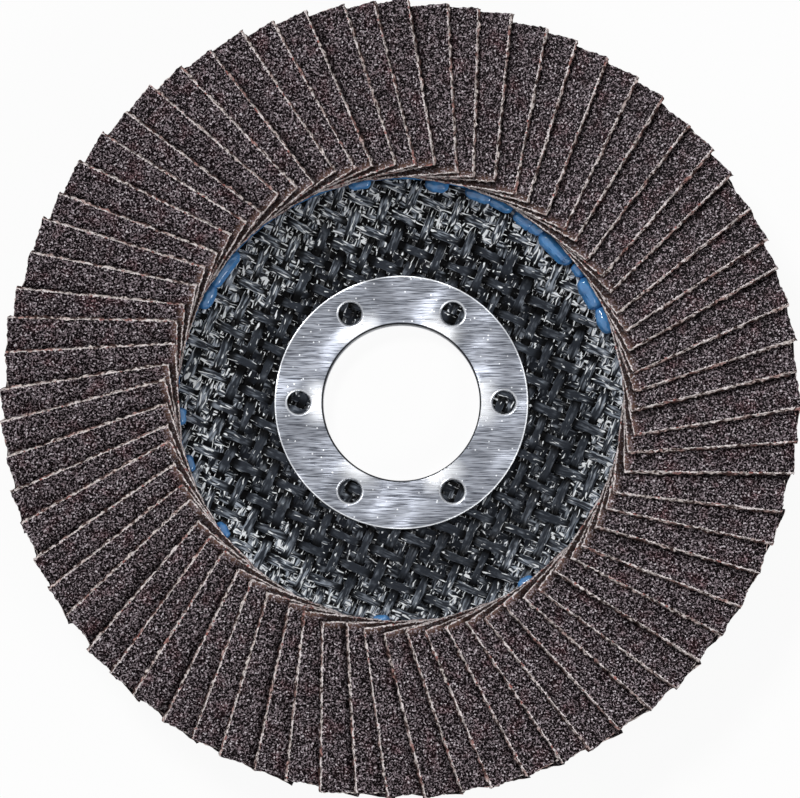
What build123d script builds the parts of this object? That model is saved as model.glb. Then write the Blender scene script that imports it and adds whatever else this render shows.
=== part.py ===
from build123d import *
import os
from math import asin, atan2, cos, degrees, hypot, radians, sin, tan

# A flap disc for an angle grinder. The origin lies on the bore's axis, level with the back of the hub.
# +Z runs along the bore towards the abrasive side. Lengths are in millimetres, angles in degrees.

# ---- Driving dimensions ----

# Arbor ring: one pressing of tinned sheet steel
bore_diameter = 22.23
flange_width = 6.9
sheet_thickness = 0.6
bore_edge_bevel = 0.25
lip_width = 2.0
ring_hole_count = 6
ring_hole_radius = 1.6

# Backing plate: woven glass fibre in black resin, moulded in one piece
hub_thickness = 3.2
recess_depth = 4.3
rim_thickness = 2.4
floor_beyond_ring = 5.0
wall_run = 7.0
wall_back_shift = 0.4
back_bend_bevel = 1.2
ring_fit_gap = 0.05

# Weave on the plate's front: flat tows, with a sunk window between each four of them
tow_width = 1.4
window_length = 1.85
window_width = 2.05
window_depth = 0.35
window_margin = 0.8
weave_turn = -23.0

# Flaps: rectangles of grit-coated cloth
flap_count = 72
flap_length = 23.85
flap_width = 21.2
flap_thickness = 0.85
flap_gap = 0.05
flap_setback = 1.3
flap_overhang = 2.7
first_flap_angle = 3.6
flaps_per_node = 2

# Strays: how far single flaps lie off their even places, outwards, down the slope and in turn, each in its
# own plane. Each stray is a wave that moves on by its step, in radians, from one flap to the next.
reach_stray = 0.2
slope_stray = 0.3
skew_stray = 0.8
reach_step = 2.4
slope_step = 4.1
skew_step = 1.7

# Adhesive bed: blue epoxy on the rim, a thin ledge along its inner edge and wedges under the flaps
bed_floor = 0.35
bed_edge_inset = 0.6
bed_start_beyond_shoulder = 1.4
bead_overlap = 0.5
bead_lift = 0.3
bead_sides = 6
bead_taper = 0.8
bead_end_share = 0.45

# Beads of epoxy squeezed out at the flaps' inner ends: from angle, to angle, reach inwards of the bed
squeezed_beads = [
    (19.5, 23.5, 1.5),
    (27.0, 32.0, 1.9),
    (41.0, 48.0, 1.9),
    (54.5, 57.0, 1.5),
    (61.0, 65.0, 1.1),
    (67.0, 71.5, 1.2),
    (79.0, 82.0, 1.4),
    (99.0, 102.5, 0.9),
    (139.0, 147.5, 1.2),
    (150.0, 153.5, 1.4),
    (215.0, 217.0, 1.1),
]

# ---- Sizes that follow ----

bore_radius = bore_diameter / 2
collar_radius = bore_radius + sheet_thickness
ring_radius = bore_radius + flange_width
ring_hole_circle = bore_radius + flange_width / 2
lip_radius = bore_radius + lip_width
flange_top = hub_thickness + sheet_thickness

floor_radius = ring_radius + floor_beyond_ring
shoulder_radius = floor_radius + wall_run
rim_front = hub_thickness + recess_depth
rim_back = rim_front - rim_thickness

flap_inner_reach = shoulder_radius + flap_setback
flap_middle_reach = flap_inner_reach + flap_length / 2
plate_radius = flap_inner_reach + flap_length - flap_overhang

# Neighbouring flaps lie closest at their inner ends, where this tilt leaves flap_gap between them
flap_pitch = 360 / flap_count
closest_reach = flap_inner_reach - reach_stray - flap_width / 2 * sin(radians(skew_stray))
flap_tilt = degrees(asin((flap_thickness + flap_gap) / (closest_reach * sin(radians(flap_pitch)))))

# The lowest corner of any flap stands bed_floor above the rim
lowest_reach = flap_width / 2 + slope_stray + flap_length / 2 * sin(radians(skew_stray))
flap_middle_height = rim_front + bed_floor + lowest_reach * sin(radians(flap_tilt))

# The wedges start where the lower inner corner of every flap has begun
farthest_reach = flap_inner_reach + reach_stray + flap_width / 2 * sin(radians(skew_stray))
wedge_inner_radius = hypot(farthest_reach, lowest_reach * cos(radians(flap_tilt)))

# Rooms over the wedges are cut this many flaps apart at a time, so that those cut together lie clear
rooms_apart = 4
rising = (Align.CENTER, Align.CENTER, Align.MIN)

bed_inner_radius = shoulder_radius + bed_start_beyond_shoulder
bed_outer_radius = plate_radius - bed_edge_inset
wedge_rise = bed_outer_radius * radians(flap_pitch) * tan(radians(flap_tilt))
bed_height = bed_floor + wedge_rise


def turned(section):
    """Solid turned about Z from a closed section of (radius, height, corner bevel)."""
    face = make_face(Polyline(*[(radius, height) for radius, height, bevel in section], close=True))
    for radius, height, bevel in section:
        if bevel:
            corner = face.vertices().sort_by_distance(Vector(radius, height))[0]
            face = chamfer(corner, bevel)
    return revolve(Plane.XZ * face, Axis.Z)


def weave_windows():
    """The sunk windows of the weave: blocks square to the hub's floor, or to the wall where they lie on it."""
    wall_rise = rim_front - hub_thickness
    wall_slope = degrees(atan2(wall_rise, wall_run))
    half_diagonal = hypot(window_length, window_width) / 2
    nearest = ring_radius + window_margin + half_diagonal
    farthest = shoulder_radius - window_margin - half_diagonal
    pitch_along = window_length + tow_width
    pitch_across = window_width + tow_width
    block = Box(window_length, window_width, 2 * window_depth)
    steps = int(farthest / min(pitch_along, pitch_across)) + 1
    windows = []
    for row in range(-steps, steps + 1):
        for column in range(-steps, steps + 1):
            along = column * pitch_along
            across = row * pitch_across
            reach = hypot(along, across)
            if nearest < reach < farthest:
                spoke = degrees(atan2(across, along))
                height = hub_thickness + max(0, reach - floor_radius) / wall_run * wall_rise
                tilt = wall_slope if reach > floor_radius else 0
                seat = Rot(0, 0, weave_turn + spoke) * Pos(reach, 0, height) * Rot(0, -tilt, 0)
                windows.append(seat * Rot(0, 0, -spoke) * block)
    return windows


def plain_plate():
    """The moulded plate without its weave: hub set back, conical wall, flat rim."""
    plate_bore = collar_radius + ring_fit_gap
    lip_seat = lip_radius + ring_fit_gap
    return turned([
        (plate_bore, sheet_thickness, 0),
        (plate_bore, hub_thickness, 0),
        (floor_radius, hub_thickness, 0),
        (shoulder_radius, rim_front, 0),
        (plate_radius, rim_front, 0),
        (plate_radius, rim_back, 0),
        (shoulder_radius + wall_back_shift, rim_back, back_bend_bevel),
        (floor_radius + wall_back_shift, 0, back_bend_bevel),
        (lip_seat, 0, 0),
        (lip_seat, sheet_thickness, 0),
    ])


def arbor_ring():
    """Flange on the hub's front, collar through its bore and lip crimped over at the back."""
    ring = turned([
        (ring_radius, hub_thickness, 0),
        (ring_radius, flange_top, 0),
        (bore_radius, flange_top, bore_edge_bevel),
        (bore_radius, 0, 0),
        (lip_radius, 0, 0),
        (lip_radius, sheet_thickness, 0),
        (collar_radius, sheet_thickness, 0),
        (collar_radius, hub_thickness, 0),
    ])
    pierced = Pos(0, 0, hub_thickness) * Cylinder(ring_hole_radius, sheet_thickness, align=rising)
    return ring - PolarLocations(ring_hole_circle, ring_hole_count) * pierced


def even_seat(number):
    """Even place of one flap: x outwards along its middle, y down its slope, z out of its grit."""
    spoke = Rot(0, 0, first_flap_angle + number * flap_pitch)
    return spoke * Pos(flap_middle_reach, 0, flap_middle_height) * Rot(-flap_tilt, 0, 0)


def flap_seat(number):
    """Place of one flap with its strays, which keep it in its own plane."""
    reach = reach_stray * sin(reach_step * number)
    slope = slope_stray * sin(slope_step * number)
    skew = skew_stray * sin(skew_step * number)
    return even_seat(number) * Pos(reach, slope, 0) * Rot(0, 0, skew)


def flap(number):
    """One flap: a flat rectangle of coated cloth, standing on its underside."""
    return flap_seat(number) * Box(flap_length, flap_width, flap_thickness, align=rising)


def room_over_wedge(number):
    """Room for one flap and its strays, from its lowest edge up the slope to where the bed ends."""
    slope_run = bed_height / sin(radians(flap_tilt))
    room = Box(flap_length, slope_run, 2 * bed_height, align=rising)
    return even_seat(number) * Pos(0, lowest_reach - slope_run / 2) * room


def bead(start, end, reach):
    """One bead of epoxy along the bed's inner edge: its section swells, runs on and tapers off again."""
    bead_radius = (reach + bead_overlap) / 2
    path_radius = bed_inner_radius - reach + bead_radius
    path_height = rim_front + bead_lift * bead_radius
    taper = degrees(bead_taper * bead_radius / path_radius)
    stations = [(start - taper, bead_end_share), (start, 1), (end, 1), (end + taper, bead_end_share)]
    sections = []
    for angle, share in stations:
        outline = Plane.XZ * Pos(path_radius, path_height) * RegularPolygon(bead_radius * share, bead_sides)
        sections.append(Rot(0, 0, angle) * outline)
    return loft(sections, ruled=True)


def band(inner_radius, height):
    """Band of epoxy on the rim with a flat side to each flap, its corners under the flaps' lower edges."""
    outlines = []
    for radius in (bed_outer_radius, inner_radius):
        edge_angle = degrees(asin(lowest_reach * cos(radians(flap_tilt)) / radius))
        outlines.append(Rot(0, 0, first_flap_angle + edge_angle) * RegularPolygon(radius, flap_count))
    return Pos(0, 0, rim_front) * extrude(outlines[0] - outlines[1], height)


def adhesive_bed(plate):
    """Epoxy between the rim and the flaps' lower edges: ledge, a wedge under each flap, and the beads."""
    bed = band(bed_inner_radius, bed_floor) + band(wedge_inner_radius, bed_height)
    bed += [bead(start, end, reach) for start, end, reach in squeezed_beads]
    bed -= plate
    for first in range(rooms_apart):
        bed -= [room_over_wedge(number) for number in range(first, flap_count, rooms_apart)]
    return bed


def write(name, *solids):
    """Write one node's solids to its own file."""
    shape = solids[0] if len(solids) == 1 else Compound(children=list(solids))
    shape.label = name
    export_step(shape, f"parts/{name}.step")


os.makedirs("parts", exist_ok=True)
smooth_plate = plain_plate()
write("backing_plate", smooth_plate - weave_windows())
write("arbor_ring", arbor_ring())
write("adhesive_bed", adhesive_bed(smooth_plate))
for node, first in enumerate(range(0, flap_count, flaps_per_node), start=1):
    last = min(first + flaps_per_node, flap_count)
    write(f"flap_pair_{node:02}", *[flap(number) for number in range(first, last)])
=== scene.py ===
from math import atan2, copysign, cos, hypot, pi, radians, sin

import bmesh
import bpy
from mathutils import Matrix, Vector, noise


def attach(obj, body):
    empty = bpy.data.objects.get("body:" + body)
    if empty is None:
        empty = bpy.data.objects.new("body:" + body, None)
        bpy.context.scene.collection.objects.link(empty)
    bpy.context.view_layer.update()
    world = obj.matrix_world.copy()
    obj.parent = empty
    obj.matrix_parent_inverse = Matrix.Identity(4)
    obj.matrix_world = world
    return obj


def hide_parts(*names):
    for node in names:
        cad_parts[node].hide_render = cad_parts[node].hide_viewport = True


# A flap disc lying on its back, grit side up. Lengths are in millimetres until MM turns them to metres.
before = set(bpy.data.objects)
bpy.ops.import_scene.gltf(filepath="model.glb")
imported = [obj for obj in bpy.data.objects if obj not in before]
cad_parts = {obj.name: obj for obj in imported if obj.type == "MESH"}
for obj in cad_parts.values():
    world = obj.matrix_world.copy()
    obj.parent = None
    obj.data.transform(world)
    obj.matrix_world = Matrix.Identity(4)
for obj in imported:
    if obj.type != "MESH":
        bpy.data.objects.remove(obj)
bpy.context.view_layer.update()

MM = 0.001

# ---- Sizes shared with the solids ----
bore_radius = 11.115
collar_radius = 11.715
ring_radius = 18.015
ring_hole_circle = 14.565
ring_hole_radius = 1.6
ring_hole_count = 6
lip_radius = 13.115
sheet_thickness = 0.6
hub_thickness = 3.2
flange_top = 3.8
floor_radius = 23.015
shoulder_radius = 30.015
plate_radius = 52.465
rim_front = 7.5
rim_back = 5.1
flap_length = 23.85
flap_width = 21.2
flap_thickness = 0.85
flap_middle_reach = 43.24
bed_inner_radius = 31.415

# ---- Sizes of the looks ----
fit_gap = 0.05
bend_softness = 0.9

# How far the resin behind the plies lies below their front, and where it steps up to the rim beyond them
resin_depth = 0.62
step_foot = 32.8
step_top = 33.0

# Weave: the distances from one tow to the next, its turn about Z, and how far from the axis the plies begin,
# their tows end and stray faces are cut off
tow_width = 1.45
pitch_along = 3.25
pitch_across = 3.45
weave_turn = radians(-23)
weave_bore = 12.0
weave_reach = 32.4
weave_edge = 32.6

# The width of a flap that its neighbour leaves bare, as a share of the distance from the axis
bare_share = 0.0926

# A wave texture of scale 1 has this many bands in a unit, so its scale is 1 / (pitch * bands_per_unit)
bands_per_unit = 3.18


# ---- Tools for making meshes ----

def finished(name, bm, materials, smooth_angle=40):
    """A finished piece from a bmesh in metres: it rides on the disc's one body."""
    mesh = bpy.data.meshes.new(name)
    bm.to_mesh(mesh)
    bm.free()
    for material in materials:
        mesh.materials.append(material)
    mesh.shade_smooth()
    mesh.set_sharp_from_angle(angle=radians(smooth_angle))
    piece = bpy.data.objects.new(name, mesh)
    bpy.context.scene.collection.objects.link(piece)
    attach(piece, "root")
    return piece


def lathe(section, steps, rounding_steps=4):
    """Closed shell turned about Z from the (radius, height, rounding) corners of its section."""
    bm = bmesh.new()
    corners = [bm.verts.new((radius * MM, 0, height * MM)) for radius, height, rounding in section]
    bm.faces.new(corners)
    for corner, (radius, height, rounding) in zip(corners, section):
        if rounding:
            bmesh.ops.bevel(bm, geom=[corner], offset=rounding * MM, offset_type="OFFSET",
                            segments=rounding_steps, profile=0.5, affect="VERTICES", material=-1)
    bmesh.ops.delete(bm, geom=bm.faces[:], context="FACES_ONLY")
    bmesh.ops.spin(bm, geom=bm.verts[:] + bm.edges[:], cent=(0, 0, 0), axis=(0, 0, 1), dvec=(0, 0, 0),
                   angle=2 * pi, steps=steps, use_merge=True, use_duplicate=False)
    bmesh.ops.remove_doubles(bm, verts=bm.verts[:], dist=1e-6)
    bmesh.ops.recalc_face_normals(bm, faces=bm.faces[:])
    return bm


# ---- Tools for making materials ----

def colour(code):
    """Linear colour from an sRGB hex value."""
    channels = [int(code[at:at + 2], 16) / 255 for at in (1, 3, 5)]
    return [c / 12.92 if c <= 0.04045 else ((c + 0.055) / 1.055) ** 2.4 for c in channels] + [1]


def material(name):
    """A new material with its shader, and its node tree."""
    made = bpy.data.materials.new(name)
    made.use_nodes = True
    return made, made.node_tree, made.node_tree.nodes["Principled BSDF"]


def add(tree, kind, feeds, **settings):
    """One node with its settings. Each feed is an input's value, or the output that is linked to it."""
    node = tree.nodes.new(kind)
    for name, value in settings.items():
        setattr(node, name, value)
    for name, value in feeds.items():
        if isinstance(value, bpy.types.NodeSocket):
            tree.links.new(value, node.inputs[name])
        else:
            node.inputs[name].default_value = value
    return node


def grit():
    """Grit 40 aluminium oxide under a brown resin size coat: grains about 0.4 mm across that melt into
    short curled ridges, pale partly from wear and partly as painted highlight, over near-black gaps of painted
    shade, with a few pale facets that are painted glints. It is darkened with painted shade where the next
    flap's raised edge lies over it, brown and dusty at the inner end, and frayed to a pale line where the cloth
    was sheared."""
    made, tree, shader = material("aluminium_oxide_grit")
    place = add(tree, "ShaderNodeTexCoord", {}).outputs["Object"]
    folds = add(tree, "ShaderNodeTexNoise",
                {"Vector": place, "Scale": 1 / (0.25 * MM), "Detail": 0.0, "Distortion": 0.7})
    ridge = add(tree, "ShaderNodeMapRange", {"Value": folds.outputs[0], "From Min": 0.46, "From Max": 0.57})
    tops = add(tree, "ShaderNodeTexNoise", {"Vector": place, "Scale": 1 / (0.8 * MM), "Detail": 1.0})
    broken = add(tree, "ShaderNodeMapRange",
                 {"Value": tops.outputs[0], "From Min": 0.3, "From Max": 0.68, "To Min": 0.5, "To Max": 1.0})
    shown = add(tree, "ShaderNodeMath", {0: ridge.outputs[0], 1: broken.outputs[0]}, operation="MULTIPLY")
    bump = add(tree, "ShaderNodeBump", {"Strength": 1.0, "Distance": 0.2 * MM, "Height": ridge.outputs[0]})
    blotch = add(tree, "ShaderNodeTexNoise", {"Vector": place, "Scale": 1 / (3 * MM), "Detail": 2.0})
    warm = add(tree, "ShaderNodeMapRange", {"Value": blotch.outputs[0], "From Min": 0.52, "From Max": 0.78})
    # Near-black gaps between the grains: painted shade, as the bump casts none
    gap_shade = add(tree, "ShaderNodeMix", {0: warm.outputs[0], 6: colour("#0a0607"), 7: colour("#1e1113")},
              data_type="RGBA")
    # Pale crests of the grains: partly wear, partly painted highlight
    pale = add(tree, "ShaderNodeMix", {0: warm.outputs[0], 6: colour("#8d8086"), 7: colour("#86656a")},
               data_type="RGBA")
    worn = add(tree, "ShaderNodeAttribute", {}, attribute_name="worn")
    dusty = add(tree, "ShaderNodeMix", {0: worn.outputs["Fac"], 6: gap_shade.outputs[2], 7: colour("#7d6156")},
                data_type="RGBA")
    ridged = add(tree, "ShaderNodeMix", {0: shown.outputs[0], 6: dusty.outputs[2], 7: pale.outputs[2]},
                 data_type="RGBA")
    # A few pale facets: painted glints
    facet_glint = add(tree, "ShaderNodeMapRange", {"Value": folds.outputs[0], "From Min": 0.7, "From Max": 0.78})
    toned = add(tree, "ShaderNodeMix", {0: facet_glint.outputs[0], 6: ridged.outputs[2], 7: colour("#d2ccd1")},
                data_type="RGBA")
    # Painted shade where the next flap's raised edge lies over the grit
    shade_under_neighbour = add(tree, "ShaderNodeAttribute", {}, attribute_name="shade_under_neighbour")
    shade_share = add(tree, "ShaderNodeMath", {0: shade_under_neighbour.outputs["Fac"], 1: 0.72}, operation="MULTIPLY")
    dark = add(tree, "ShaderNodeMix", {0: shade_share.outputs[0], 6: toned.outputs[2], 7: colour("#070405")},
               data_type="RGBA")
    frayed = add(tree, "ShaderNodeAttribute", {}, attribute_name="frayed")
    ragged = add(tree, "ShaderNodeMath", {0: folds.outputs[0], 1: 1.0, 2: frayed.outputs["Fac"]},
                 operation="MULTIPLY_ADD")
    lint = add(tree, "ShaderNodeMapRange", {"Value": ragged.outputs[0], "From Min": 1.02, "From Max": 1.24})
    red = add(tree, "ShaderNodeMapRange", {"Value": tops.outputs[0], "From Min": 0.6, "From Max": 0.68})
    thread = add(tree, "ShaderNodeMix", {0: red.outputs[0], 6: colour("#f0e6e6"), 7: colour("#a86e68")},
                 data_type="RGBA")
    edged = add(tree, "ShaderNodeMix", {0: lint.outputs[0], 6: dark.outputs[2], 7: thread.outputs[2]},
                data_type="RGBA")
    tree.links.new(edged.outputs[2], shader.inputs["Base Color"])
    tree.links.new(bump.outputs[0], shader.inputs["Normal"])
    shader.inputs["Roughness"].default_value = 0.5
    shader.inputs["IOR"].default_value = 1.55
    shader.inputs["Specular IOR Level"].default_value = 0.03
    return made


def cut_cloth():
    """Polyester cotton cloth where the flaps were sheared: a thin pale line of fibre ends between the grit
    and the dark sized back, matt, pinkish in places and broken by crumbs of resin."""
    made, tree, shader = material("sheared_polycotton_cloth")
    place = add(tree, "ShaderNodeTexCoord", {}).outputs["Object"]
    clumps = add(tree, "ShaderNodeTexNoise", {"Vector": place, "Scale": 1 / (0.5 * MM), "Detail": 1.0})
    whole = add(tree, "ShaderNodeMapRange", {"Value": clumps.outputs[0], "From Min": 0.4, "From Max": 0.56})
    wide = add(tree, "ShaderNodeTexNoise", {"Vector": place, "Scale": 1 / (2.5 * MM), "Detail": 1.0})
    pinkish = add(tree, "ShaderNodeMapRange", {"Value": wide.outputs[0], "From Min": 0.46, "From Max": 0.66})
    pale = add(tree, "ShaderNodeMix", {0: pinkish.outputs[0], 6: colour("#efe4e0"), 7: colour("#b98a84")},
               data_type="RGBA")
    layer = add(tree, "ShaderNodeAttribute", {}, attribute_name="cloth_layer")
    share = add(tree, "ShaderNodeMath", {0: whole.outputs[0], 1: layer.outputs["Fac"]}, operation="MULTIPLY")
    mixed = add(tree, "ShaderNodeMix", {0: share.outputs[0], 6: colour("#3d2b28"), 7: pale.outputs[2]},
                data_type="RGBA")
    bump = add(tree, "ShaderNodeBump", {"Strength": 0.8, "Distance": 0.1 * MM, "Height": clumps.outputs[0]})
    tree.links.new(mixed.outputs[2], shader.inputs["Base Color"])
    tree.links.new(bump.outputs[0], shader.inputs["Normal"])
    shader.inputs["Roughness"].default_value = 0.9
    shader.inputs["Specular IOR Level"].default_value = 0.1
    shader.inputs["Sheen Weight"].default_value = 0.1
    return made


def cloth_back():
    """The same cloth's resin-soaked back: reddish brown, with threads 0.55 and 0.62 mm apart that stand out
    softly."""
    made, tree, shader = material("resin_sized_cloth_back")
    place = add(tree, "ShaderNodeUVMap", {}, uv_map="along_the_cloth").outputs[0]
    warp = add(tree, "ShaderNodeTexWave",
               {"Vector": place, "Scale": 1 / (0.55 * bands_per_unit), "Distortion": 0.6}, bands_direction="X")
    weft = add(tree, "ShaderNodeTexWave",
               {"Vector": place, "Scale": 1 / (0.62 * bands_per_unit), "Distortion": 0.6}, bands_direction="Y")
    threads = add(tree, "ShaderNodeMath", {0: warp.outputs["Fac"], 1: weft.outputs["Fac"]},
                  operation="MAXIMUM")
    tone = add(tree, "ShaderNodeMix", {0: threads.outputs[0], 6: colour("#35251f"), 7: colour("#7a5a49")},
               data_type="RGBA")
    bump = add(tree, "ShaderNodeBump", {"Strength": 0.7, "Distance": 0.08 * MM, "Height": threads.outputs[0]})
    tree.links.new(tone.outputs[2], shader.inputs["Base Color"])
    tree.links.new(bump.outputs[0], shader.inputs["Normal"])
    shader.inputs["Roughness"].default_value = 0.6
    return made


def glass_tow(name, shade, pale, roughness, glint_limit):
    """A tow of glass fibres soaked in black phenolic resin: dark and smooth where resin covers it, painted near
    black as shade where it passes under another, with fine pale streaks of bare glass along the tow where it
    stands clear and as painted highlights along its edges, and bright slivers that are painted glints."""
    made, tree, shader = material(name)
    place = add(tree, "ShaderNodeUVMap", {}, uv_map="along_the_tow").outputs[0]
    fibres = add(tree, "ShaderNodeMapping", {"Vector": place, "Scale": (0.5, 4.0, 1.0)})
    streaks = add(tree, "ShaderNodeTexNoise", {"Vector": fibres.outputs[0], "Scale": 1.0, "Detail": 1.0})
    patches = add(tree, "ShaderNodeTexNoise", {"Vector": place, "Scale": 0.7, "Detail": 2.0})
    bare = add(tree, "ShaderNodeAttribute", {}, attribute_name="bare")
    raised = add(tree, "ShaderNodeAttribute", {}, attribute_name="raised")
    clear = add(tree, "ShaderNodeMath", {0: bare.outputs["Fac"], 1: 0.5, 2: patches.outputs[0]},
                operation="MULTIPLY_ADD")
    limit = add(tree, "ShaderNodeMapRange", {"Value": clear.outputs[0], "From Min": 0.45, "From Max": 0.95})
    lines = add(tree, "ShaderNodeMapRange", {"Value": streaks.outputs[0], "From Min": 0.46, "From Max": 0.62})
    share = add(tree, "ShaderNodeMath", {0: lines.outputs[0], 1: limit.outputs[0]}, operation="MULTIPLY")
    tone = add(tree, "ShaderNodeMix", {0: share.outputs[0], 6: colour(shade), 7: colour(pale)},
               data_type="RGBA")
    drawn = add(tree, "ShaderNodeMapping", {"Vector": place, "Scale": (0.75, 3.6, 1.0)})
    # Bright slivers: painted glints, more of them where the tow is marked bare
    glint_pattern = add(tree, "ShaderNodeTexNoise",
                {"Vector": drawn.outputs[0], "Scale": 1.0, "Detail": 1.0, "Distortion": 0.6})
    glint_field = add(tree, "ShaderNodeMath", {0: bare.outputs["Fac"], 1: 0.1, 2: glint_pattern.outputs[0]},
                  operation="MULTIPLY_ADD")
    glint_share = add(tree, "ShaderNodeMapRange",
                     {"Value": glint_field.outputs[0], "From Min": glint_limit, "From Max": glint_limit + 0.05})
    # Painted shade: near black where the tow dips under another
    dip_shaded = add(tree, "ShaderNodeMix", {0: raised.outputs["Fac"], 6: colour("#040405"), 7: tone.outputs[2]},
               data_type="RGBA")
    bright = add(tree, "ShaderNodeMix", {0: glint_share.outputs[0], 6: dip_shaded.outputs[2], 7: colour("#eef1f4")},
                 data_type="RGBA")
    height = add(tree, "ShaderNodeMath", {0: streaks.outputs[0], 1: 0.6, 2: glint_pattern.outputs[0]},
                 operation="MULTIPLY_ADD")
    bump = add(tree, "ShaderNodeBump", {"Strength": 1.0, "Distance": 0.16 * MM, "Height": height.outputs[0]})
    tree.links.new(bright.outputs[2], shader.inputs["Base Color"])
    tree.links.new(bump.outputs[0], shader.inputs["Normal"])
    shader.inputs["Roughness"].default_value = roughness
    shader.inputs["IOR"].default_value = 1.56
    shader.inputs["Specular IOR Level"].default_value = 0.03
    return made


def black_resin():
    """Phenolic resin moulded over woven glass: near black and half glossy, with the print of the cloth's
    weave pressed into the plate's back."""
    made, tree, shader = material("moulded_phenolic_resin")
    place = add(tree, "ShaderNodeTexCoord", {}).outputs["Object"]
    turned = add(tree, "ShaderNodeMapping", {"Vector": place, "Rotation": (0, 0, -weave_turn)})
    along = add(tree, "ShaderNodeTexWave",
                {"Vector": turned.outputs[0], "Scale": 1 / (pitch_along * bands_per_unit * MM),
                 "Distortion": 0.4, "Detail": 1.0}, bands_direction="X")
    across = add(tree, "ShaderNodeTexWave",
                 {"Vector": turned.outputs[0], "Scale": 1 / (pitch_across * bands_per_unit * MM),
                  "Distortion": 0.4, "Detail": 1.0}, bands_direction="Y")
    pressed = add(tree, "ShaderNodeMath", {0: along.outputs["Fac"], 1: across.outputs["Fac"]},
                  operation="MAXIMUM")
    grain = add(tree, "ShaderNodeTexNoise", {"Vector": place, "Scale": 1 / (0.4 * MM), "Detail": 3.0})
    height = add(tree, "ShaderNodeMath", {0: grain.outputs[0], 1: 0.25, 2: pressed.outputs[0]},
                 operation="MULTIPLY_ADD")
    bump = add(tree, "ShaderNodeBump", {"Strength": 0.8, "Distance": 0.12 * MM, "Height": height.outputs[0]})
    tone = add(tree, "ShaderNodeMix", {0: pressed.outputs[0], 6: colour("#101114"), 7: colour("#2b2d31")},
               data_type="RGBA")
    tree.links.new(tone.outputs[2], shader.inputs["Base Color"])
    tree.links.new(bump.outputs[0], shader.inputs["Normal"])
    shader.inputs["Roughness"].default_value = 0.3
    shader.inputs["IOR"].default_value = 1.6
    shader.inputs["Specular IOR Level"].default_value = 0.3
    return made


def reflection_by_holes(tree, place, waves):
    """Share of painted reflection: full between each hole and the bore, none halfway to the next."""
    flat = add(tree, "ShaderNodeSeparateXYZ", {"Vector": place})
    level = add(tree, "ShaderNodeCombineXYZ", {"X": flat.outputs["X"], "Y": flat.outputs["Y"]})
    reach = add(tree, "ShaderNodeVectorMath", {0: level.outputs[0]}, operation="LENGTH")
    near_bore = add(tree, "ShaderNodeMapRange",
                    {"Value": reach.outputs["Value"], "From Min": (bore_radius + 0.3) * MM,
                     "From Max": ring_hole_circle * MM, "To Min": 1.0, "To Max": 0.0},
                    interpolation_type="SMOOTHSTEP")
    bearing = add(tree, "ShaderNodeMath", {0: flat.outputs["Y"], 1: flat.outputs["X"]}, operation="ARCTAN2")
    repeated = add(tree, "ShaderNodeMath", {0: bearing.outputs[0], 1: float(ring_hole_count)},
                   operation="MULTIPLY")
    facing = add(tree, "ShaderNodeMath", {0: repeated.outputs[0]}, operation="COSINE")
    by_hole = add(tree, "ShaderNodeMapRange",
                  {"Value": facing.outputs[0], "From Min": -0.2, "From Max": 0.9})
    uneven = add(tree, "ShaderNodeMapRange",
                 {"Value": waves, "From Min": 0.3, "From Max": 0.55, "To Min": 0.25, "To Max": 0.8})
    near_holes = add(tree, "ShaderNodeMath", {0: near_bore.outputs[0], 1: by_hole.outputs[0]},
                  operation="MULTIPLY")
    reflection_share = add(tree, "ShaderNodeMath", {0: near_holes.outputs[0], 1: uneven.outputs[0]}, operation="MULTIPLY")
    return reflection_share.outputs[0]


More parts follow.
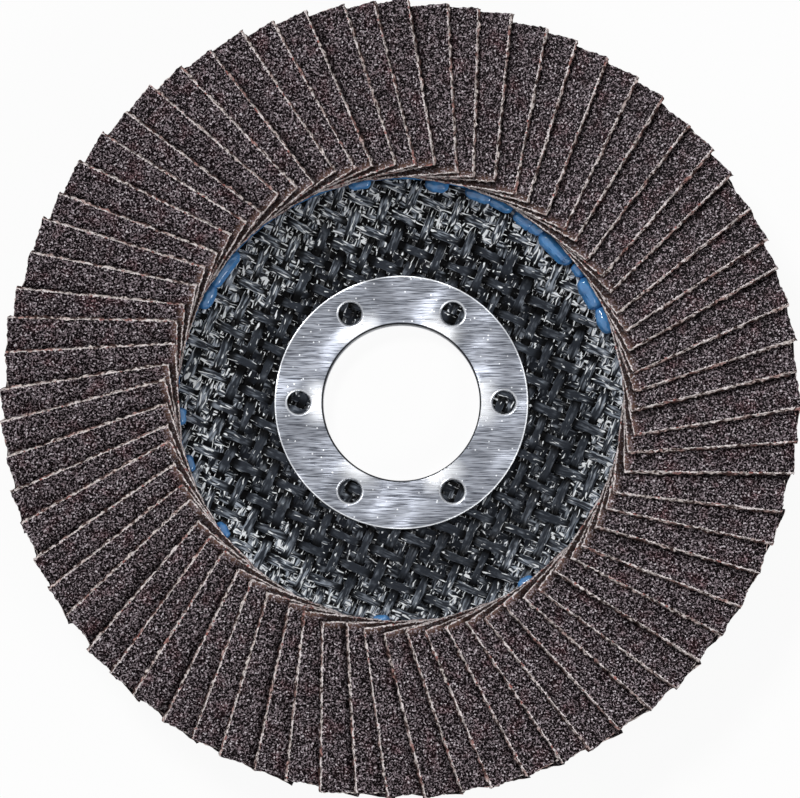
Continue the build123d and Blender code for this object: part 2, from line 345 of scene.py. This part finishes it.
def tinplate():
    """Tinned sheet steel, rolled one way: cool grey with fine hairlines along X, sparse pale specks that are
    painted glints, slow waves from pressing, painted reflections in patches between the holes and the bore,
    painted highlights on the rim and on all faces below the flange's top, such as the hole flares, and a
    painted shade line round the bore. The hairlines are drawn 0.08 mm wide, coarser than real ones, so that
    they show."""
    made, tree, shader = material("rolled_tinplate")
    place = add(tree, "ShaderNodeTexCoord", {}).outputs["Object"]
    drawn = add(tree, "ShaderNodeMapping", {"Vector": place, "Scale": (1 / 2.2, 1 / 0.08, 1 / 0.08)})
    lines = add(tree, "ShaderNodeTexNoise", {"Vector": drawn.outputs[0], "Scale": 1 / MM, "Detail": 1.0})
    waves = add(tree, "ShaderNodeTexNoise", {"Vector": place, "Scale": 1 / (6 * MM), "Detail": 0.5})
    # Sparse pale specks: painted glints
    glint_cells = add(tree, "ShaderNodeTexVoronoi", {"Vector": place, "Scale": 1 / (1.0 * MM)}, feature="F1")
    glint_spots = add(tree, "ShaderNodeMapRange", {"Value": glint_cells.outputs["Distance"], "From Min": 0.08,
                                            "From Max": 0.14, "To Min": 0.7, "To Max": 0.0})
    height = add(tree, "ShaderNodeMath", {0: waves.outputs[0], 1: 70.0, 2: lines.outputs[0]},
                 operation="MULTIPLY_ADD")
    bump = add(tree, "ShaderNodeBump", {"Strength": 1.0, "Distance": 0.02 * MM, "Height": height.outputs[0]})
    dull = add(tree, "ShaderNodeMapRange", {"Value": lines.outputs[0], "From Min": 0.3, "From Max": 0.7,
                                            "To Min": 0.24, "To Max": 0.38})
    tone_at = add(tree, "ShaderNodeMapRange", {"Value": lines.outputs[0], "From Min": 0.36, "From Max": 0.64})
    tone = add(tree, "ShaderNodeMix", {0: tone_at.outputs[0], 6: colour("#4a4d55"), 7: colour("#9a9ea7")},
               data_type="RGBA")
    # Bright patches between the holes and the bore: painted reflection
    reflected = add(tree, "ShaderNodeMix", {0: reflection_by_holes(tree, place, waves.outputs[0]),
                                           6: tone.outputs[2], 7: colour("#f6f8fc")}, data_type="RGBA")
    glinted = add(tree, "ShaderNodeMix", {0: glint_spots.outputs[0], 6: reflected.outputs[2], 7: colour("#f4f6fa")},
                 data_type="RGBA")
    # Painted edge light: a painted highlight on the rim and below the flange's top, a painted shade line round
    # the bore
    edge_light_value = add(tree, "ShaderNodeAttribute", {}, attribute_name="edge_light")
    highlight_share = add(tree, "ShaderNodeMapRange", {"Value": edge_light_value.outputs["Fac"], "To Min": 0.0, "To Max": 1.0})
    edge_highlighted = add(tree, "ShaderNodeMix", {0: highlight_share.outputs[0], 6: glinted.outputs[2], 7: colour("#e4e7ec")},
                 data_type="RGBA")
    bore_shade_share = add(tree, "ShaderNodeMapRange", {"Value": edge_light_value.outputs["Fac"], "From Min": -1.0,
                                             "From Max": 0.0, "To Min": 1.0, "To Max": 0.0})
    bore_shaded = add(tree, "ShaderNodeMix", {0: bore_shade_share.outputs[0], 6: edge_highlighted.outputs[2], 7: colour("#1a1c20")},
                 data_type="RGBA")
    tree.links.new(bore_shaded.outputs[2], shader.inputs["Base Color"])
    tree.links.new(dull.outputs[0], shader.inputs["Roughness"])
    tree.links.new(bump.outputs[0], shader.inputs["Normal"])
    shader.inputs["Metallic"].default_value = 1.0
    return made


def epoxy():
    """Blue epoxy adhesive that set as it was squeezed out: smooth, glossy and slightly uneven in depth."""
    made, tree, shader = material("blue_epoxy_adhesive")
    place = add(tree, "ShaderNodeTexCoord", {}).outputs["Object"]
    depth = add(tree, "ShaderNodeTexNoise", {"Vector": place, "Scale": 1 / (1.6 * MM), "Detail": 2.0})
    tone = add(tree, "ShaderNodeMix", {0: depth.outputs[0], 6: colour("#1d5796"), 7: colour("#5ba3e2")},
               data_type="RGBA")
    bump = add(tree, "ShaderNodeBump", {"Strength": 0.3, "Distance": 0.15 * MM, "Height": depth.outputs[0]})
    tree.links.new(tone.outputs[2], shader.inputs["Base Color"])
    tree.links.new(bump.outputs[0], shader.inputs["Normal"])
    shader.inputs["Roughness"].default_value = 0.12
    shader.inputs["IOR"].default_value = 1.55
    shader.inputs["Coat Weight"].default_value = 0.4
    return made


grit_material = grit()
cut_material = cut_cloth()
back_material = cloth_back()
upper_tow_material = glass_tow("resin_covered_glass_tow", "#2f333a", "#9ba3ae", 0.26, 0.68)
under_tow_material = glass_tow("bare_glass_tow", "#1a1d23", "#a8b0bb", 0.18, 0.645)
resin_material = black_resin()
tin_material = tinplate()
epoxy_material = epoxy()


# ---- Flaps ----

def flap_places(node):
    """The places of the two flaps that a node holds: x outwards, z out of the grit, from the underside."""
    bm = bmesh.new()
    bm.from_mesh(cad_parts[node].data)
    bmesh.ops.remove_doubles(bm, verts=bm.verts[:], dist=1e-6)
    bmesh.ops.dissolve_limit(bm, angle_limit=radians(1), verts=bm.verts[:], edges=bm.edges[:])
    bmesh.ops.recalc_face_normals(bm, faces=bm.faces[:])
    big = [face for face in bm.faces if face.calc_area() > 0.9 * flap_length * flap_width * MM * MM]
    places = []
    for under in sorted((face for face in big if face.normal.z < 0), key=lambda face: face.index):
        middle = under.calc_center_median()
        out_of_grit = -under.normal
        long_edge = max(under.edges, key=lambda edge: edge.calc_length())
        outwards = (long_edge.verts[1].co - long_edge.verts[0].co).normalized()
        if outwards.dot(middle) < 0:
            outwards = -outwards
        down_slope = out_of_grit.cross(outwards)
        places.append(Matrix((outwards, down_slope, out_of_grit)).transposed().to_4x4())
        places[-1].translation = middle
    bm.free()
    return places


# Half of a flap's rows lie in this share of its width, next to the raised edge that shows
close_rows = 0.24

# Rings of a flap's wall: how deep each lies, as a share of the thickness, and whether it is pale cloth
wall_rings = ((-0.12, 1.0), (-0.6, 1.0), (-0.75, 0.0), (-1.0, 0.0))

# Bands along a flap's edges, in millimetres: ragged, frayed, dusty, and seen beyond the neighbour
ragged_band = 0.35
frayed_side = 0.3
frayed_end = 0.35
dusty_end = 1.0
seen_side = 5.4

# How far edges and grains stray, in millimetres
rag = 0.24
fine_rag = 0.3
grain_lift = 0.13
fine_grain_lift = 0.05

# A flap is divided into this many columns along it and rows across it
flap_columns = 80
flap_rows = 40


def flap(place, seed):
    """One flap of coated cloth: closely divided along the raised edge that shows, with grains that stand up,
    ragged sheared edges and a plain back."""
    bm = bmesh.new()
    bmesh.ops.create_grid(bm, x_segments=flap_columns, y_segments=flap_rows, size=1)
    top = bm.faces[:]
    rim = [edge for edge in bm.edges if edge.is_boundary]
    layer = bm.verts.layers.float.new("cloth_layer")
    for depth, share in wall_rings:
        walls = bmesh.ops.extrude_edge_only(bm, edges=rim)["geom"]
        rim = [e for e in walls if isinstance(e, bmesh.types.BMEdge) and e.is_boundary]
        for v in walls:
            if isinstance(v, bmesh.types.BMVert):
                v.co.z = depth
                v[layer] = share
    bmesh.ops.contextual_create(bm, geom=rim)
    worn = bm.verts.layers.float.new("worn")
    frayed = bm.verts.layers.float.new("frayed")
    shade_under_neighbour = bm.verts.layers.float.new("shade_under_neighbour")
    cloth = bm.loops.layers.uv.new("along_the_cloth")
    shift = Vector((seed * 1.37, seed * 0.71, seed * 2.11))
    for v in bm.verts:
        across = (v.co.y + 1) / 2
        if across < 0.5:
            bunched = across * 2 * close_rows
        else:
            bunched = close_rows + (across - 0.5) * 2 * (1 - close_rows)
        x, y, depth = v.co.x * flap_length / 2, (bunched - 0.5) * flap_width, v.co.z
        spot = Vector((x, y, depth * 0.8)) + shift
        to_end, to_side = flap_length / 2 - abs(x), flap_width / 2 - abs(y)
        ragged = max(0.0, 1 - min(to_side, to_end) / ragged_band)
        if to_end < ragged_band:
            x += copysign(ragged, x) * rag * noise.noise(spot * 1.9)
        if to_side < ragged_band:
            frill = rag * noise.noise(spot * 1.1 + shift) + fine_rag * noise.noise(spot * 2.6)
            y += copysign(ragged, y) * frill
        from_inner_end, from_raised_edge = x + flap_length / 2, y + flap_width / 2
        bare_width = (flap_middle_reach + x) * bare_share - from_raised_edge
        v[worn] = max(0.0, 1 - from_inner_end / dusty_end)
        # Painted shade: full under the next flap, fading to none a millimetre out from its edge
        v[shade_under_neighbour] = min(1.0, max(0.0, 1 - bare_width)) ** 1.3
        v[frayed] = max(0.0, 1 - from_raised_edge / frayed_side, 1 - from_inner_end / frayed_end)
        lift = 0.0
        if depth > -0.1:
            lift = grain_lift * noise.noise(spot * 1.7) + fine_grain_lift * noise.noise(spot * 4.1)
            if from_raised_edge > seen_side:
                lift = min(lift, 0.0)
        v.co = Vector((x, y, flap_thickness * (1 + depth) + lift)) * MM
    back = [face for face in bm.faces if len(face.verts) > 8]
    for face in bm.faces:
        face.material_index = 1
        for loop in face.loops:
            loop[cloth].uv = (loop.vert.co.x / MM, loop.vert.co.y / MM)
    for faces, slot in ((top, 0), (back, 2)):
        for face in faces:
            face.material_index = slot
    bmesh.ops.triangulate(bm, faces=back)
    bmesh.ops.recalc_face_normals(bm, faces=bm.faces[:])
    bmesh.ops.transform(bm, matrix=place, verts=bm.verts[:])
    return bm


def joined(parts):
    """One bmesh from several."""
    whole = bmesh.new()
    for part in parts:
        mesh = bpy.data.meshes.new("part")
        part.to_mesh(mesh)
        part.free()
        whole.from_mesh(mesh)
        bpy.data.meshes.remove(mesh)
    return whole


flap_nodes = sorted(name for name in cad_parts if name.startswith("flap_pair_"))
for number, node in enumerate(flap_nodes):
    flaps = [flap(place, 2 * number + one) for one, place in enumerate(flap_places(node))]
    piece = finished(f"cloth_flaps_{number + 1:02}", joined(flaps),
                     [grit_material, cut_material, back_material])
    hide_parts(node)


# ---- Backing plate ----

def recess_height(reach):
    """Height of the woven front this far from the axis: floor, wall and rim, with soft bends between."""
    def past(bend):
        run = (reach - bend) / bend_softness
        return bend_softness * (run + hypot(run, 1)) / 2
    rise = (rim_front - hub_thickness) / (shoulder_radius - floor_radius)
    return hub_thickness + rise * (past(floor_radius) - past(shoulder_radius))


plate = finished("moulded_plate", lathe([
    (collar_radius + fit_gap, sheet_thickness, 0),
    (collar_radius + fit_gap, hub_thickness - resin_depth, 0),
    (floor_radius + 0.3, hub_thickness - resin_depth, 1.2),
    (shoulder_radius + 0.3, rim_front - resin_depth, 1.2),
    (step_foot, rim_front - resin_depth, 0),
    (step_top, rim_front, 0.1),
    (plate_radius, rim_front, 0.3),
    (plate_radius, rim_back, 0.3),
    (shoulder_radius + 0.4, rim_back, 2.0),
    (floor_radius + 0.4, 0, 2.0),
    (lip_radius + fit_gap, 0, 0.1),
    (lip_radius + fit_gap, sheet_thickness, 0),
], steps=180), [resin_material])
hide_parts("backing_plate")


# How finely tows are divided, in millimetres along them and in steps across, half the length of the shortest,
# and how many lie on each side of the middle one
tow_step = 0.55
tow_divisions = 8
least_half_run = 3
tows_each_way = 10

# Tows come clear of the resin from this distance outwards, over this run, and more on this side of the disc,
# where they also get more painted glints and highlights and deeper painted shade
clear_from = 25.5
clear_run = 4
painted_light_side = radians(120)

# How far a tow wanders, how much its width changes, as a share, how far the edges of a filled tow sink, how
# far a clear tow's arch and edges drop, how far a filled and a clear tow rise and dip, and how uneven they are
tow_wander = 0.25
width_change = 0.3
filled_drop = 0.55
arch_drop = 0.14
edge_drop = 0.3
filled_rise = 0.06
clear_rise = 0.11
tow_unevenness = 0.04


def tow(offset, parity, ply_depth, sideways, pitch, bare_least, seed):
    """One tow across the plate: a ribbon whose edges sink into the resin, over and under in turn. Resin
    fills it level near the hub and on one side. Towards the rim and the other side it stands clear. Its edges
    are marked for painted highlights and its dips for painted shade, deeper on the side where it stands clear."""
    half_run = (weave_reach ** 2 - offset ** 2) ** 0.5 if abs(offset) < weave_reach else 0
    if half_run < least_half_run:
        return None
    bm = bmesh.new()
    bmesh.ops.create_grid(bm, x_segments=int(2 * half_run / tow_step), y_segments=tow_divisions, size=1)
    bare = bm.verts.layers.float.new("bare")
    raised = bm.verts.layers.float.new("raised")
    lay = bm.loops.layers.uv.new("along_the_tow")
    turn = Matrix.Rotation(weave_turn, 3, "Z")
    for face in bm.faces:
        for loop in face.loops:
            flat = loop.vert.co
            loop[lay].uv = (flat.x * half_run + seed * 17.3, flat.y * tow_width / 2 + seed * 5.1)
    for v in bm.verts:
        along, across = v.co.x * half_run, copysign(1 - (1 - abs(v.co.y)) ** 1.5, v.co.y)
        wander = tow_wander * noise.noise(Vector((along * 0.16, seed * 3.7, 0.5)))
        width = tow_width * (1 + width_change * noise.noise(Vector((along * 0.4, seed * 1.9, 7.5))))
        spot = turn @ Vector((along, offset + wander + across * width / 2, 0))
        if sideways:
            spot = Vector((-spot.y, spot.x, 0))
        reach = hypot(spot.x, spot.y)
        patch = noise.noise(spot * 0.22 + Vector((3, 1, 8)))
        toward_painted_light_side = cos(atan2(spot.y, spot.x) - painted_light_side)
        clear = bare_least + (reach - clear_from) / clear_run + 1.3 * patch + 0.5 * toward_painted_light_side
        clear = min(1.0, max(0.0, clear))
        edge = max(0.0, (abs(across) - 0.75) / 0.25)
        # The edges count as bare: their pale streaks are painted highlights
        v[bare] = max(clear, 0.85 * edge)
        filled = -filled_drop * max(0.0, (abs(across) - 0.7) / 0.3) ** 2
        arched = -arch_drop * across ** 2 - edge_drop * edge ** 2
        arch = filled + (arched - filled) * clear
        rise = filled_rise + (clear_rise - filled_rise) * clear
        over = cos(pi * (along / pitch + parity)) + 0.3 * noise.noise(Vector((along * 0.5, seed, 2)))
        # Painted shade: none where the tow rises, near black where it dips, deeper towards one side of the disc
        v[raised] = min(1.0, max(0.0, 0.5 + 1.5 * over - 0.4 * toward_painted_light_side))
        lift = rise * over + tow_unevenness * noise.noise(Vector((along, across, seed * 1.3)))
        spot.z = recess_height(reach) - ply_depth - rise - 0.05 + arch + lift
        v.co = spot * MM
    stray = [face for face in bm.faces
             if any(not weave_bore * MM < hypot(v.co.x, v.co.y) < weave_edge * MM for v in face.verts)]
    bmesh.ops.delete(bm, geom=stray, context="FACES")
    bmesh.ops.recalc_face_normals(bm, faces=bm.faces[:])
    for face in bm.faces:
        if face.normal.z < 0:
            face.normal_flip()
    return bm


def ply(name, tow_material, ply_depth, shift, bare_least):
    """One ply of open woven glass cloth: tows along and across, each passing over one and under the next.
    Its shift, in tows, lets the under ply show through the upper one's windows. Each tow has its own seed."""
    tows = []
    for number in range(-tows_each_way, tows_each_way + 1):
        tows.append(tow((number + shift) * pitch_across, number, ply_depth, False, pitch_along,
                        bare_least, number + 31.5 + 60 * shift))
        tows.append(tow((number + shift) * pitch_along, number + 1, ply_depth, True, pitch_across,
                        bare_least, number + 91.5 + 60 * shift))
    piece = finished(name, joined([one for one in tows if one]), [tow_material], smooth_angle=60)


ply("upper_glass_ply", upper_tow_material, 0, 0, 0.15)
ply("under_glass_ply", under_tow_material, 0.18, 0.5, 0.45)


# ---- Arbor ring ----

# The ring's painted edge light, in millimetres: how wide the rim gets a painted highlight and the bore's
# edge a painted shade line, and over what depth the shade and the highlight grow to their full
highlighted_rim = 0.2
shaded_bore_band = 0.29
shade_depth = 0.015
highlight_depth = 0.12


def arbor_ring():
    """Flange, collar and crimped lip in one sheet, its pierced holes drawn in with a round edge. The punch
    widens upwards to that edge. The edges' painted light runs from -1, painted shade, over 0, plain, to 1,
    painted highlight."""
    body = finished("pressed_ring", lathe([
        (ring_radius, hub_thickness, 0),
        (ring_radius, flange_top, 0.1),
        (ring_radius - 0.26, flange_top, 0),
        (bore_radius, flange_top, 0.28),
        (bore_radius, 0, 0.1),
        (lip_radius, 0, 0.15),
        (lip_radius, sheet_thickness, 0.1),
        (collar_radius, sheet_thickness, 0),
        (collar_radius, hub_thickness, 0),
    ], steps=160), [tin_material])
    punch = lathe([
        (0.001, hub_thickness - 0.5, 0),
        (ring_hole_radius, hub_thickness - 0.5, 0),
        (ring_hole_radius, flange_top - 0.34, 0),
        (ring_hole_radius + 0.06, flange_top - 0.2, 0),
        (ring_hole_radius + 0.16, flange_top - 0.1, 0),
        (ring_hole_radius + 0.28, flange_top - 0.04, 0),
        (ring_hole_radius + 0.42, flange_top + 0.01, 0),
        (0.001, flange_top + 0.01, 0),
    ], steps=48)
    punches = []
    for hole in range(ring_hole_count):
        one = punch.copy()
        turn = Matrix.Rotation(2 * pi * hole / ring_hole_count, 4, "Z")
        seat = turn @ Matrix.Translation((ring_hole_circle * MM, 0, 0))
        bmesh.ops.transform(one, matrix=seat, verts=one.verts[:])
        punches.append(one)
    punch.free()
    cutter = finished("punches", joined(punches), [tin_material])
    cut = body.modifiers.new("pierced", "BOOLEAN")
    cut.object = cutter
    cut.solver = "EXACT"
    pierced = bpy.data.meshes.new_from_object(body.evaluated_get(bpy.context.evaluated_depsgraph_get()))
    body.modifiers.clear()
    body.data = pierced
    bpy.data.objects.remove(cutter)
    # Painted edge light for each vertex: -1 painted shade at the bore's edge, 1 painted highlight
    edge_light = pierced.attributes.new("edge_light", "FLOAT", "POINT")
    for vertex in pierced.vertices:
        below = flange_top - vertex.co.z / MM
        reach = hypot(vertex.co.x, vertex.co.y) / MM
        at_bore = reach < bore_radius + shaded_bore_band
        rounded = min(1.0, max(0.0, below / (shade_depth if at_bore else highlight_depth)))
        if reach > ring_radius - highlighted_rim:
            rounded = 1.0
        edge_light.data[vertex.index].value = -rounded if at_bore and below < 0.3 else rounded
    pierced.set_sharp_from_angle(angle=radians(30))
    body.modifiers.new("flat_faces", "WEIGHTED_NORMAL").keep_sharp = True
    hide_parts("arbor_ring")


arbor_ring()


# ---- Adhesive ----

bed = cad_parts["adhesive_bed"]
bed.data.materials.clear()
bed.data.materials.append(epoxy_material)

# Beads squeezed out at the flaps' inner ends: from angle, to angle, reach inwards of the bed
squeezed_beads = [
    (19.5, 23.5, 1.5), (27.0, 32.0, 1.9), (35.5, 37.0, 1.0), (41.0, 48.0, 1.9), (51.0, 52.5, 1.3),
    (54.5, 57.0, 1.5), (61.0, 65.0, 1.1), (67.0, 71.5, 1.2), (79.0, 82.0, 1.4), (99.0, 102.5, 0.9),
    (139.0, 147.5, 1.2), (150.0, 153.5, 1.4), (183.0, 185.0, 1.0), (195.5, 197.5, 1.0),
    (215.0, 217.0, 1.1), (264.0, 266.0, 1.0), (303.5, 305.5, 1.0),
]


# How far beads reach under the bed's edge, how much fuller they are than the solids' six-sided ones, how
# high they lie, and how much they swell along their run and stray in all directions, as shares of their girth
bead_overlap = 0.5
bead_fullness = 1.06
bead_lift = 0.3
bead_swell = 0.28
bead_unevenness = 0.14


def squeezed_bead(start, end, reach, seed):
    """One lump of epoxy: a ball drawn out and bent along the flaps' ends, full to its round ends and a little
    uneven."""
    girth = (reach + bead_overlap) / 2 * bead_fullness
    path = bed_inner_radius - reach + girth - 0.03
    half_run = radians((end - start) / 2) * path + 0.9 * girth
    middle = radians((start + end) / 2)
    bm = bmesh.new()
    bmesh.ops.create_uvsphere(bm, u_segments=40, v_segments=20, radius=1)
    for v in bm.verts:
        axis = v.co.copy()
        swell = 1 + bead_swell * noise.noise(Vector((axis.z * half_run * 0.9, seed * 3.1, 0.3)))
        lump = 1 + bead_unevenness * noise.noise(axis * 1.9 + Vector((seed, seed, seed)))
        radius = girth * swell * lump * (1 + axis.z ** 2) ** 0.5
        angle = middle + axis.z * half_run / path
        from_axis = path + axis.x * radius
        height = rim_front + bead_lift * girth + axis.y * radius
        v.co = Vector((cos(angle) * from_axis, sin(angle) * from_axis, height)) * MM
    bmesh.ops.recalc_face_normals(bm, faces=bm.faces[:])
    return bm


lumps = [squeezed_bead(*bead, seed=number + 0.5) for number, bead in enumerate(squeezed_beads)]
beads = finished("epoxy_beads", joined(lumps), [epoxy_material], smooth_angle=180)


# ---- Stage ----

# How much of the white glow the camera sees on the floor, and how strongly the surroundings light the disc
floor_glow = 0.93
surroundings_light = 0.22


def stage_floor():
    """Pale floor that the camera sees as white, with the disc's soft shadow kept."""
    made, tree, shader = material("white_paper_sweep")
    shader.inputs["Base Color"].default_value = colour("#e8e8e8")
    shader.inputs["Roughness"].default_value = 0.9
    path = add(tree, "ShaderNodeLightPath", {})
    seen = add(tree, "ShaderNodeMath", {0: path.outputs["Is Camera Ray"], 1: floor_glow},
               operation="MULTIPLY")
    glow = add(tree, "ShaderNodeEmission", {"Color": colour("#ffffff"), "Strength": 1.0})
    mixed = add(tree, "ShaderNodeMixShader", {0: seen.outputs[0], 1: shader.outputs[0], 2: glow.outputs[0]})
    tree.links.new(mixed.outputs[0], tree.nodes["Material Output"].inputs["Surface"])
    bm = bmesh.new()
    bmesh.ops.create_grid(bm, x_segments=4, y_segments=4, size=3)
    mesh = bpy.data.meshes.new("floor")
    bm.to_mesh(mesh)
    bm.free()
    mesh.materials.append(made)
    floor = bpy.data.objects.new("floor", mesh)
    bpy.context.scene.collection.objects.link(floor)


def lamp(name, size, power, place):
    """One soft square lamp that faces the disc."""
    light = bpy.data.lights.new(name, "AREA")
    light.size = size
    light.energy = power
    holder = bpy.data.objects.new(name, light)
    holder.location = place
    holder.rotation_euler = (-Vector(place)).to_track_quat("-Z", "Y").to_euler()
    bpy.context.scene.collection.objects.link(holder)


def studio():
    """White surroundings as they are seen, directly, mirrored or through glass, that light the disc softly."""
    world = bpy.data.worlds.new("studio")
    bpy.context.scene.world = world
    world.use_nodes = True
    tree = world.node_tree
    sky = tree.nodes["Background"]
    sky.inputs["Color"].default_value = colour("#ffffff")
    path = add(tree, "ShaderNodeLightPath", {})
    mirrored = add(tree, "ShaderNodeMath", {0: path.outputs["Is Camera Ray"], 1: path.outputs["Is Glossy Ray"]},
                   operation="MAXIMUM")
    white = add(tree, "ShaderNodeMath", {0: mirrored.outputs[0], 1: path.outputs["Is Transmission Ray"]},
                operation="MAXIMUM")
    level = add(tree, "ShaderNodeMapRange",
                {"Value": white.outputs[0], "To Min": surroundings_light, "To Max": 1.0})
    tree.links.new(level.outputs[0], sky.inputs["Strength"])


stage_floor()
studio()
lamp("key", size=0.3, power=10.5, place=(-0.45, 0.6, 1.1))
lamp("fill", size=0.4, power=4.5, place=(0.7, -0.6, 0.7))
lamp("top", size=0.2, power=0.45, place=(0.06, 0.25, 1.3))

# The camera stands this far off in metres and looks almost straight down, with +Y up in the render
view_distance = 1.0
view_target = Vector((0.00001, -0.00021, 0.0155))
camera = bpy.data.cameras.new("camera")
camera.sensor_width = 36
camera.lens = 321.1
camera.clip_start = 0.05
camera.clip_end = 20
backwards = Vector((0.0163, -0.058, 1)).normalized()
rightwards = Vector((0, 1, 0)).cross(backwards).normalized()
upwards = backwards.cross(rightwards)
viewer = bpy.data.objects.new("camera", camera)
viewer.location = view_target + backwards * view_distance
viewer.rotation_euler = Matrix((rightwards, upwards, backwards)).transposed().to_euler()
bpy.context.scene.collection.objects.link(viewer)
bpy.context.scene.camera = viewer
bpy.context.scene.view_settings.view_transform = "Standard"
